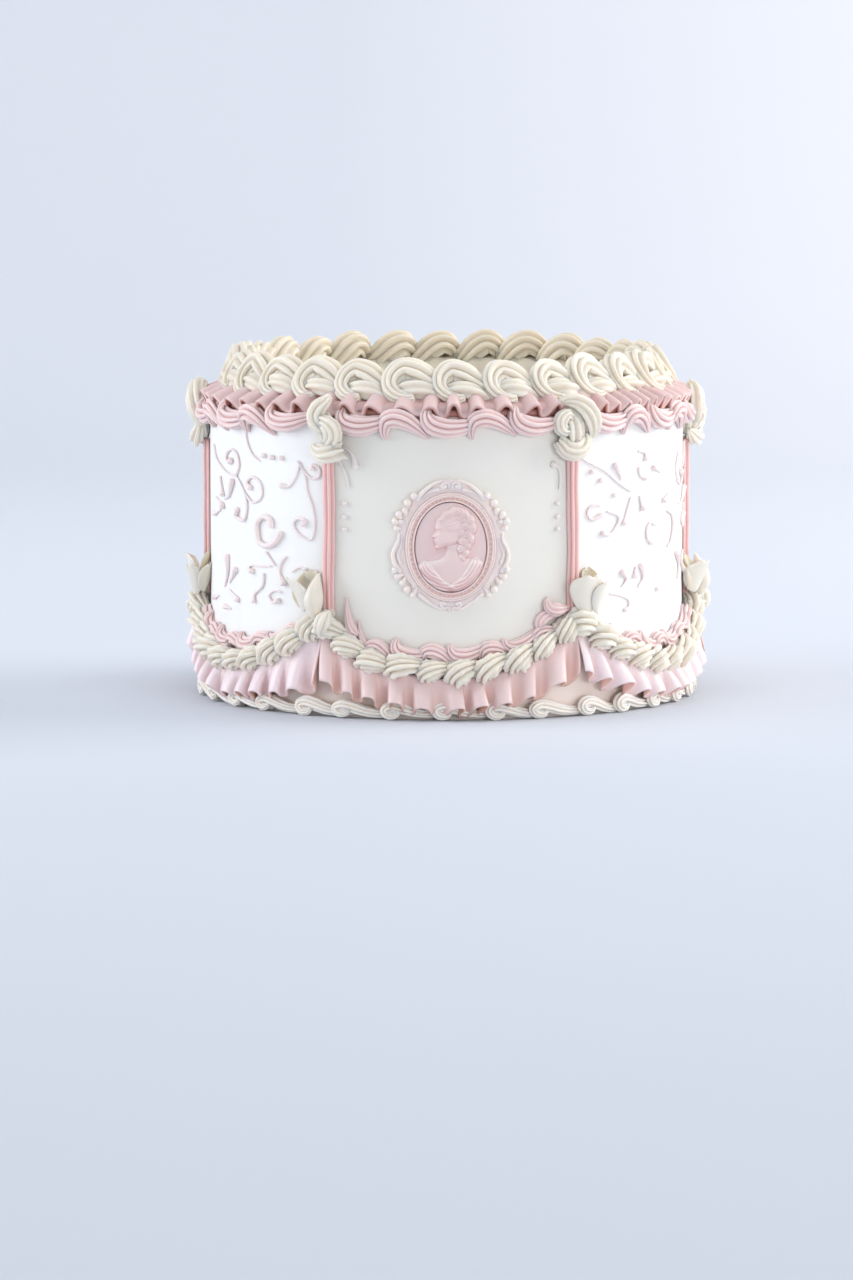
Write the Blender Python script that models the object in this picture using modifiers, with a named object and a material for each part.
"""A round Lambeth cake: an iced cylinder dressed with piped borders, swags, pillars and cameos.

Angles go round the cake in degrees: 0 is the front (-Y) and +90 is the right (+X).
Six pillars divide the wall into six panels, which carry a cameo and plain icing by turns.
"""

import math
import random

import bmesh
import bpy
from mathutils import Vector

MM = 0.001

# The iced cake, an 8 inch round.
BODY_RADIUS = 101.5 * MM
BODY_HEIGHT = 129.0 * MM
BODY_EDGE = 4.0 * MM
BODY_FACETS = 60

# Pieces that touch keep this gap.
GAP = 0.3 * MM

# The panels between the pillars.
PANELS = 6
PANEL_TURN = 360.0 / PANELS
FIRST_PANEL = 1.0

# Top border: big curled swirls inside a pink frill that covers the edge.
SWIRLS = 28
SWIRL_RING = 86.5 * MM
FRILL_FOLDS = 54
FRILL_INNER = 93.0 * MM
FRILL_OUTER = 104.4 * MM
FRILL_INNER_TOP = 133.4 * MM
FRILL_RIM = 128.6 * MM
FRILL_WAVE = 2.2 * MM
FRILL_THICKNESS = 1.5 * MM

# Scrolls under the frill, on each panel.
UPPER_SCROLLS = 5
UPPER_SCROLL_HEIGHT = 119.8 * MM
UPPER_SCROLL_HALF = 24.0

# Pillars and the shells on their heads.
PILLAR_BOTTOM = 47.5 * MM
PILLAR_TOP = 103.0 * MM
PILLAR_RADIUS = 2.7 * MM
CROWN_TOP = 131.0 * MM

# Swags: each hangs from pillar to pillar on one parabola.
SWAG_HALF = 29.5
SWAG_LOW = 20.5 * MM
SWAG_RISE = 20.0 * MM
SWAG_SHELLS = 10
SHELL_HALF = 28.6
SWAG_SCROLLS = 7
SCROLL_HALF = 25.5
SCROLL_HALF_BY_FLOWERS = 20.5
SCROLL_LIFT = 10.0 * MM

# The skirt frill that hangs under each swag.
SKIRT_HALF = 28.4
SKIRT_FOLDS = 8
SKIRT_TUCK = 5.6 * MM
SKIRT_HEM = 4.5 * MM
SKIRT_HEM_RISE = 12.0 * MM
SKIRT_TOP_OUT = 3.0 * MM
SKIRT_HEM_OUT = 9.4 * MM
SKIRT_WAVE = 2.0 * MM
SKIRT_THICKNESS = 1.4 * MM

# Tulip petals at the feet of the pillars, set over on to the plain panels.
FLOWER_SHIFT = 4.9
FLOWER_FOOT = 43.0 * MM
FLOWER_HEIGHT = 17.5 * MM
PETAL_THICKNESS = 1.5

# The scrolled rope round the base.
BASE_SCROLLS = 36
BASE_HEIGHT = 4.0 * MM

# Cameo and its moulded frame.
CAMEO_HEIGHT = 71.5 * MM
CAMEO_HALF_WIDTH = 14.6 * MM
CAMEO_HALF_HEIGHT = 19.0 * MM
CAMEO_SEGMENTS = 16
FRAME_HALF_WIDTH = 22.2 * MM
FRAME_HALF_HEIGHT = 25.6 * MM
FRAME_SEGMENTS = 24

# No two strokes of a piping bag come out the same: each is up to this much thinner.
UNEVENNESS = 0.08
HAND = random.Random(28)

IVORY = (0.93, 0.90, 0.83, 1.0)
WHITE = (0.95, 0.95, 0.94, 1.0)
PINK = (0.88, 0.68, 0.69, 1.0)
PALE_PINK = (0.92, 0.80, 0.80, 1.0)


def material(name, colour, roughness):
    """A Principled finish with one colour and no metal in it."""
    finish = bpy.data.materials.new(name)
    finish.use_nodes = True
    shader = finish.node_tree.nodes["Principled BSDF"]
    shader.inputs["Base Color"].default_value = colour
    shader.inputs["Roughness"].default_value = roughness
    shader.inputs["Metallic"].default_value = 0.0
    return finish


def collection(name):
    made = bpy.data.collections.new(name)
    bpy.context.scene.collection.children.link(made)
    return made


def polar(angle, radius, height):
    """The point at an angle in degrees round the cake."""
    turn = math.radians(angle)
    return Vector((radius * math.sin(turn), -radius * math.cos(turn), height))


def panel_angle(panel):
    return FIRST_PANEL + panel * PANEL_TURN


def pillar_angle(pillar):
    return panel_angle(pillar) + PANEL_TURN / 2


def add_object(name, data, home):
    made = bpy.data.objects.new(name, data)
    home.objects.link(made)
    return made


def loft(name, sections, home, ring=False):
    """A closed solid through like sections, each a loop of points. A ring joins its last section to its first."""
    mesh = bmesh.new()
    loops = [[mesh.verts.new(point) for point in section] for section in sections]
    pairs = list(zip(loops, loops[1:]))
    if ring:
        pairs.append((loops[-1], loops[0]))
    for one, other in pairs:
        for i in range(len(one)):
            j = (i + 1) % len(one)
            mesh.faces.new((one[i], one[j], other[j], other[i]))
    if not ring:
        mesh.faces.new(loops[0])
        mesh.faces.new(loops[-1])
    bmesh.ops.recalc_face_normals(mesh, faces=mesh.faces)
    data = bpy.data.meshes.new(name)
    mesh.to_mesh(data)
    mesh.free()
    return add_object(name, data, home)


def star_profile(name, lobes, depth, home):
    """The mouth of a star nozzle, of radius 1: a closed line of lobes with a groove between each two."""
    line = bpy.data.curves.new(name, "CURVE")
    line.dimensions = "2D"
    spline = line.splines.new("POLY")
    spline.points.add(2 * lobes - 1)
    for i, point in enumerate(spline.points):
        turn = math.pi * i / lobes
        reach = 1.0 if i % 2 == 0 else 1.0 - depth
        point.co = (reach * math.cos(turn), reach * math.sin(turn), 0.0, 1.0)
    spline.use_cyclic_u = True
    made = add_object(name, line, home)
    made.hide_render = True
    made.display_type = "WIRE"
    return made


def rope(name, points, radii, profile, home):
    """One stroke of the bag: the nozzle's profile carried through the points, swelling and thinning."""
    line = bpy.data.curves.new(name, "CURVE")
    line.dimensions = "3D"
    line.bevel_mode = "OBJECT"
    line.bevel_object = profile
    line.use_fill_caps = True
    spline = line.splines.new("POLY")
    spline.points.add(len(points) - 1)
    for place, point, radius in zip(spline.points, points, radii):
        place.co = (*point, 1.0)
        place.radius = radius
    return solid_from_curve(add_object(name, line, home), home)


def solid_from_curve(curve, home):
    """The curve as a mesh whose caps are welded on."""
    bpy.context.view_layer.update()
    graph = bpy.context.evaluated_depsgraph_get()
    data = bpy.data.meshes.new_from_object(curve.evaluated_get(graph))
    mesh = bmesh.new()
    mesh.from_mesh(data)
    bmesh.ops.remove_doubles(mesh, verts=mesh.verts, dist=0.00001)
    bmesh.ops.recalc_face_normals(mesh, faces=mesh.faces)
    mesh.to_mesh(data)
    mesh.free()
    name = curve.name
    place = curve.matrix_world.copy()
    bpy.data.objects.remove(curve)
    made = add_object(name, data, home)
    made.matrix_world = place
    return made


def apply_modifiers(solid):
    bpy.context.view_layer.update()
    graph = bpy.context.evaluated_depsgraph_get()
    data = bpy.data.meshes.new_from_object(solid.evaluated_get(graph))
    solid.modifiers.clear()
    solid.data = data


def boolean(solid, operation, operand):
    """Joins a collection to the solid, or cuts it away."""
    step = solid.modifiers.new(operation.title(), "BOOLEAN")
    step.operation = operation
    step.solver = "MANIFOLD"
    step.operand_type = "COLLECTION"
    step.collection = operand
    apply_modifiers(solid)


def keep_largest_piece(solid):
    """Drops the scraps that a cut leaves loose."""
    mesh = bmesh.new()
    mesh.from_mesh(solid.data)
    left = set(mesh.verts)
    islands = []
    while left:
        reached = [left.pop()]
        island = []
        while reached:
            vertex = reached.pop()
            island.append(vertex)
            for edge in vertex.link_edges:
                other = edge.other_vert(vertex)
                if other in left:
                    left.discard(other)
                    reached.append(other)
        islands.append(island)
    islands.sort(key=len)
    for island in islands[:-1]:
        bmesh.ops.delete(mesh, geom=island, context="VERTS")
    mesh.to_mesh(solid.data)
    mesh.free()


def fuse(name, strokes, cutters, finish, home):
    """One solid from overlapping strokes, cut back from what it lies on."""
    first, *others = strokes
    first.name = name
    scraps = collection(name + "_strokes")
    for stroke in others:
        for old in stroke.users_collection:
            old.objects.unlink(stroke)
        scraps.objects.link(stroke)
    if others:
        boolean(first, "UNION", scraps)
    for stroke in others:
        bpy.data.objects.remove(stroke)
    bpy.data.collections.remove(scraps)
    for cutter in cutters:
        boolean(first, "DIFFERENCE", cutter)
    keep_largest_piece(first)
    for old in first.users_collection:
        old.objects.unlink(first)
    home.objects.link(first)
    first.data.materials.clear()
    first.data.materials.append(finish)
    return first


def wall_point(angle, radius, height, along, up, out):
    """A point measured from a spot on the wall: along to the right, up, and out from the cake's axis."""
    reach = radius + out
    return polar(angle + math.degrees(along / reach), reach, height + up)


def swag_height(offset):
    """Height of the swag's line at an angle from the panel's middle."""
    return SWAG_LOW + SWAG_RISE * (offset / SWAG_HALF) ** 2


def swag_slope(offset):
    """The swag's rise over its run, as an angle in radians."""
    run = BODY_RADIUS * math.radians(SWAG_HALF)
    return math.atan(2.0 * SWAG_RISE * offset / SWAG_HALF / run)


def swag_point(panel, offset, lift, out):
    """The point that far along the swag, lifted square to its line."""
    slope = swag_slope(offset)
    run = -lift * math.sin(slope)
    rise = lift * math.cos(slope)
    return wall_point(panel_angle(panel) + offset, BODY_RADIUS, swag_height(offset), run, rise, out)


def piped_line(name, place, count, rows, finish, home, ring=False):
    """One line of shells or scrolls without a break: place(step, across, out) says where each point lies.

    Every other piece is turned over, which makes no odds to a shell.
    """
    sections = []
    for i in range(count):
        flip = 1 if i % 2 == 0 else -1
        squeeze = (1.0 - UNEVENNESS * HAND.random()) * MM
        for ahead, across, half_width, height in rows:
            section = []
            for side, share in RIDGED_SECTION:
                reach = flip * across * MM + side * half_width * squeeze
                section.append(place(i + ahead, reach, GAP + share * height * squeeze))
            sections.append(section)
    line = loft(name, sections, home, ring)
    line.data.materials.append(finish)


def level_stroke(name, angle, radius, height, rows, profile, home):
    """A stroke laid level round the cake: its rows are (along, up, out, radius) in millimetres."""
    squeeze = 1.0 - UNEVENNESS * HAND.random()
    points = [
        wall_point(angle, radius, height, along * MM, up * MM, out * MM)
        for along, up, out, _ in rows
    ]
    return rope(name, points, [row[3] * squeeze * MM for row in rows], profile, home)


# Separate strokes, as (along, up, out, radius) in millimetres from the spot where each is piped.
SWIRL_STROKE = (
    (-8.4, 4.6, 2.6, 2.6),
    (-5.6, 8.4, 1.0, 6.2),
    (-0.6, 10.7, 0.0, 8.5),
    (5.4, 8.4, 0.4, 7.2),
    (11.6, 4.9, 1.6, 4.3),
    (17.0, 2.7, 3.0, 1.9),
)
CROWN_STROKES = (
    ((2.0, 0.0, 8.6, 2.4), (-0.6, -4.6, 9.2, 5.3), (-0.8, -10.4, 6.4, 4.6), (0.2, -15.4, 2.6, 2.0)),
    ((-2.6, -9.6, 7.4, 2.2), (1.2, -13.6, 6.8, 5.0), (1.0, -18.0, 4.6, 3.8), (-0.2, -22.0, 2.4, 1.8)),
    ((1.6, -19.0, 4.8, 1.8), (-0.6, -21.4, 4.6, 3.7), (0.0, -26.2, 2.4, 1.8)),
)

# The section of a piped line that lies flat on the wall, in half widths across and heights out.
RIDGED_SECTION = ((-1.0, 0.0), (-0.72, 0.8), (0.05, 0.72), (0.62, 1.0), (1.0, 0.0))

# One piece of a line, as (share of the step, across, half width, height), the last three in millimetres.
SHELL_ROWS = ((0.0, 0.0, 2.2, 4.6), (0.3, 0.0, 5.0, 9.2), (0.66, 0.0, 3.8, 7.2))
UPPER_SCROLL_ROWS = ((0.0, 1.4, 2.4, 2.2), (0.22, 1.0, 3.9, 4.2), (0.6, -0.4, 3.6, 3.8))
SWAG_SCROLL_ROWS = ((0.0, 1.2, 2.0, 2.2), (0.22, 0.9, 3.6, 4.4), (0.6, -0.3, 3.2, 3.8))
BASE_ROWS = ((0.0, 0.0, 2.2, 2.8), (0.3, 0.3, 3.4, 4.6), (0.68, -0.2, 3.0, 4.0))


def turned_solid(name, outline, steps, home):
    """An outline of (radius, height) points, listed top to bottom down its outer side, turned round the axis."""
    data = bpy.data.meshes.new(name)
    edges = [(i, i + 1) for i in range(len(outline) - 1)]
    data.from_pydata([(radius, 0.0, height) for radius, height in outline], edges, [])
    made = add_object(name, data, home)
    turn = made.modifiers.new("Screw", "SCREW")
    turn.axis = "Z"
    turn.steps = steps
    turn.render_steps = steps
    turn.use_merge_vertices = True
    turn.merge_threshold = 0.00001
    apply_modifiers(made)
    return made


def make_cutters():
    """The spaces already taken, each a little larger than what is there."""
    wall = collection("wall_cutter")
    frill = collection("frill_cutter")
    reach = BODY_RADIUS + GAP
    top = BODY_HEIGHT + GAP
    turned_solid("wall_space", [(0.0, top), (reach, top), (reach, -GAP), (0.0, -GAP)], BODY_FACETS, wall)
    under = FRILL_RIM - FRILL_WAVE - FRILL_THICKNESS - GAP
    over = FRILL_INNER_TOP + CROWN_TOP - FRILL_RIM
    outer = FRILL_OUTER + 3 * GAP
    turned_solid("frill_space", [(0.0, over), (outer, over), (outer, under), (0.0, under)], BODY_FACETS, frill)
    for group in (wall, frill):
        for cutter in group.objects:
            cutter.hide_render = True
            cutter.display_type = "WIRE"
    return wall, frill


def make_body(finish, home):
    """The cake under its icing: one cylinder with a softened top edge."""
    shoulder = BODY_HEIGHT - BODY_EDGE
    outline = [(0.0, BODY_HEIGHT), (BODY_RADIUS - BODY_EDGE, BODY_HEIGHT), (BODY_RADIUS, shoulder)]
    outline += [(BODY_RADIUS, 0.0), (0.0, 0.0)]
    body = turned_solid("cake_body", outline, BODY_FACETS, home)
    body.data.materials.append(finish)


def make_top_swirls(star, finish, home):
    """A ring of curled swirls, each with its tail under the head of the next."""
    strokes = []
    for i in range(SWIRLS):
        angle = i * 360.0 / SWIRLS
        bed = BODY_HEIGHT + GAP
        strokes.append(level_stroke(f"swirl_{i}", angle, SWIRL_RING, bed, SWIRL_STROKE, star, home))
    fuse("top_swirls", strokes, [], finish, home)


def make_top_frill(finish, home):
    """A frill bedded on the cake's edge. Its rim rises and falls in folds."""
    sections = []
    bed = BODY_HEIGHT + GAP
    for i in range(2 * FRILL_FOLDS):
        wave = 1 if i % 2 == 0 else -1
        rim = FRILL_RIM + FRILL_WAVE * wave
        reach = FRILL_OUTER + GAP * wave
        section = (
            (FRILL_INNER, bed),
            (FRILL_INNER, FRILL_INNER_TOP),
            (reach, rim),
            (reach - FRILL_THICKNESS / 2, rim - FRILL_THICKNESS),
            (BODY_RADIUS - BODY_EDGE, bed),
        )
        angle = i * 180.0 / FRILL_FOLDS
        sections.append([polar(angle, radius, height) for radius, height in section])
    frill = loft("top_frill", sections, home, ring=True)
    frill.data.materials.append(finish)


def make_upper_scrolls(panel, finish, home):
    """Scrolls piped under the frill that curl up and down by turns."""

    def place(step, across, out):
        offset = (2.0 * step / UPPER_SCROLLS - 1.0) * UPPER_SCROLL_HALF
        return wall_point(panel_angle(panel) + offset, BODY_RADIUS, UPPER_SCROLL_HEIGHT, 0.0, across, out)

    piped_line(f"upper_scrolls_{panel + 1}", place, UPPER_SCROLLS, UPPER_SCROLL_ROWS, finish, home)


def make_pillar(pillar, star, cutters, finish, home):
    """A straight stroke of the star nozzle up the wall between two panels."""
    angle = pillar_angle(pillar)
    ends = [polar(angle, BODY_RADIUS + 2 * GAP, height) for height in (PILLAR_BOTTOM, PILLAR_TOP)]
    stroke = rope(f"post_{pillar}", ends, [PILLAR_RADIUS, PILLAR_RADIUS], star, home)
    fuse(f"pillar_{pillar + 1}", [stroke], cutters, finish, home)


def make_crown_shells(pillar, star, cutters, finish, home):
    """Three shells, one over the other, on the head of a pillar."""
    strokes = [
        level_stroke(f"crown_{pillar}_{i}", pillar_angle(pillar), BODY_RADIUS, CROWN_TOP, rows, star, home)
        for i, rows in enumerate(CROWN_STROKES)
    ]
    fuse(f"crown_shells_{pillar + 1}", strokes, cutters, finish, home)


def make_shell_swag(panel, finish, home):
    """A row of shells along the swag."""

    def place(step, across, out):
        offset = (2.0 * step / SWAG_SHELLS - 1.0) * SHELL_HALF
        return swag_point(panel, offset, across, out)

    piped_line(f"shell_swag_{panel + 1}", place, SWAG_SHELLS, SHELL_ROWS, finish, home)


def make_scroll_swag(panel, finish, home):
    """Small scrolls above the shells that curl up and down by turns. They stop short of a flower."""
    reach = SCROLL_HALF if panel % 2 == 0 else SCROLL_HALF_BY_FLOWERS

    def place(step, across, out):
        offset = (2.0 * step / SWAG_SCROLLS - 1.0) * reach
        return swag_point(panel, offset, SCROLL_LIFT + across, out)

    piped_line(f"scroll_swag_{panel + 1}", place, SWAG_SCROLLS, SWAG_SCROLL_ROWS, finish, home)


def make_skirt_frill(panel, finish, home):
    """A pleated frill that hangs from the swag and stands off the wall at its hem."""
    sections = []
    per_fold = 3
    count = SKIRT_FOLDS * per_fold
    for i in range(count + 1):
        share = 2.0 * i / count - 1.0
        offset = share * SKIRT_HALF
        wave = math.cos(2 * math.pi * i / per_fold)
        hem = SKIRT_HEM + SKIRT_HEM_RISE * share**2
        top = swag_height(offset) - SKIRT_TUCK / math.cos(swag_slope(offset))
        edge = BODY_RADIUS + SKIRT_HEM_OUT + SKIRT_WAVE * wave
        neck = BODY_RADIUS + SKIRT_TOP_OUT
        section = (
            (neck, top),
            (edge, hem),
            (edge - SKIRT_THICKNESS, hem),
            (neck - 2 * SKIRT_THICKNESS + GAP, top - GAP),
        )
        angle = panel_angle(panel) + offset
        sections.append([polar(angle, radius, height) for radius, height in section])
    frill = loft(f"skirt_frill_{panel + 1}", sections, home)
    frill.data.materials.append(finish)


# Each petal as (lean in millimetres, turn in radians, share of the flower's height).
PETALS = ((-5.0, -0.8, 0.84), (5.0, 0.8, 0.84), (0.0, 0.0, 1.0))


def make_flower(pillar, finish, home):
    """A tulip of three petals that springs from the wall beside the pillar's foot."""
    side = 1 if pillar % 2 == 0 else -1
    angle = pillar_angle(pillar) + side * FLOWER_SHIFT
    petals = []
    for i, (lean, turn, tall) in enumerate(PETALS):
        sections = []
        for share, half_width in ((0.0, 1.8), (0.5, 5.2), (1.0, 1.9)):
            rise = FLOWER_FOOT + FLOWER_HEIGHT * tall * share
            section = []
            for skin, place in ((0.0, -1.0), (0.0, 1.0), (PETAL_THICKNESS, 1.0), (2 * PETAL_THICKNESS, 0.0)):
                across = place * half_width
                along = across * math.cos(turn) + lean * share
                out = 0.8 + 10.5 * share + skin + across * math.sin(turn) * share
                section.append(wall_point(angle, BODY_RADIUS, rise, along * MM, 0.0, out * MM))
            sections.append(section)
        petals.append(loft(f"petal_{pillar}_{i}", sections, home))
    fuse(f"flower_{pillar + 1}", petals, [], finish, home)


def make_base_border(finish, home):
    """A scrolled rope that seals the foot of the cake."""

    def place(step, across, out):
        return wall_point(step * 360.0 / BASE_SCROLLS, BODY_RADIUS, BASE_HEIGHT, 0.0, across, out)

    piped_line("base_border", place, BASE_SCROLLS, BASE_ROWS, finish, home, ring=True)


def oval_point(panel, turn, half_width, half_height, out):
    """A point on an oval round the cameo's middle, laid on the wall."""
    along = half_width * math.cos(turn)
    rise = half_height * math.sin(turn)
    return wall_point(panel_angle(panel), BODY_RADIUS, CAMEO_HEIGHT, along, rise, out)


def make_cameo_frame(panel, finish, home):
    """A moulded oval frame with a scalloped rim."""
    sections = []
    for i in range(FRAME_SEGMENTS):
        turn = 2 * math.pi * i / FRAME_SEGMENTS
        scallop = 1.08 if i % 3 == 0 else 1.0
        inner = (CAMEO_HALF_WIDTH + 2 * GAP, CAMEO_HALF_HEIGHT + 2 * GAP)
        rim = (FRAME_HALF_WIDTH * scallop, FRAME_HALF_HEIGHT * scallop)
        sections.append(
            [
                oval_point(panel, turn, *inner, GAP),
                oval_point(panel, turn, *inner, 2.6 * MM),
                oval_point(panel, turn, *rim, 1.6 * MM),
                oval_point(panel, turn, *rim, GAP),
            ]
        )
    frame = loft(f"cameo_frame_{panel // 2 + 1}", sections, home, ring=True)
    frame.data.materials.append(finish)


# A plain bust in profile, looking left, as (across, up) in millimetres from the cameo's middle.
BUST_OUTLINE = (
    (-8.5, -12.0),
    (-7.0, -8.6),
    (-1.8, -6.6),
    (-1.2, -3.2),
    (-4.6, -2.4),
    (-5.4, 0.0),
    (-6.6, 2.0),
    (-5.4, 4.4),
    (-4.8, 8.4),
    (-0.6, 12.4),
    (4.6, 12.0),
    (7.6, 7.0),
    (6.6, 1.4),
    (3.6, -1.4),
    (3.2, -6.0),
    (8.2, -8.4),
    (9.0, -11.6),
    (0.5, -15.6),
)


def make_cameo(panel, wall, finish, home):
    """A low oval dome with a bust raised on it."""
    dome_rings = ((1.0, -3.0 * MM), (1.0, 1.3 * MM), (0.55, 1.9 * MM), (0.06, 2.0 * MM))
    sections = []
    for share, out in dome_rings:
        section = []
        for i in range(CAMEO_SEGMENTS):
            turn = 2 * math.pi * i / CAMEO_SEGMENTS
            section.append(oval_point(panel, turn, CAMEO_HALF_WIDTH * share, CAMEO_HALF_HEIGHT * share, out))
        sections.append(section)
    dome = loft(f"dome_{panel}", sections, home)
    bust_sections = []
    for inset, out in ((1.0, 1.2 * MM), (1.0, 2.9 * MM), (0.7, 3.5 * MM)):
        bust_sections.append(
            [
                wall_point(panel_angle(panel), BODY_RADIUS, CAMEO_HEIGHT, x * inset * MM, y * inset * MM, out)
                for x, y in BUST_OUTLINE
            ]
        )
    bust = loft(f"bust_{panel}", bust_sections, home)
    fuse(f"cameo_{panel // 2 + 1}", [dome, bust], [wall], finish, home)


def main():
    for old in list(bpy.data.objects):
        bpy.data.objects.remove(old, do_unlink=True)
    cake = collection("lambeth_cake")
    profiles = collection("profiles")
    wall, frill = make_cutters()
    three_lobes = star_profile("three_lobes", 3, 0.14, profiles)

    icing = material("white_icing", WHITE, 0.5)
    cream = material("ivory_cream", IVORY, 0.5)
    pink = material("pink_cream", PINK, 0.5)
    pale = material("pale_pink_paste", PALE_PINK, 0.6)

    make_body(icing, cake)
    make_top_frill(pink, cake)
    make_top_swirls(three_lobes, cream, cake)
    make_base_border(cream, cake)
    for i in range(PANELS):
        make_upper_scrolls(i, pink, cake)
        make_pillar(i, three_lobes, [wall], pink, cake)
        make_crown_shells(i, three_lobes, [wall, frill], cream, cake)
        make_shell_swag(i, cream, cake)
        make_scroll_swag(i, pink, cake)
        make_skirt_frill(i, pink, cake)
        make_flower(i, cream, cake)
    for panel in range(0, PANELS, 2):
        make_cameo_frame(panel, pale, cake)
        make_cameo(panel, wall, pink, cake)


main()
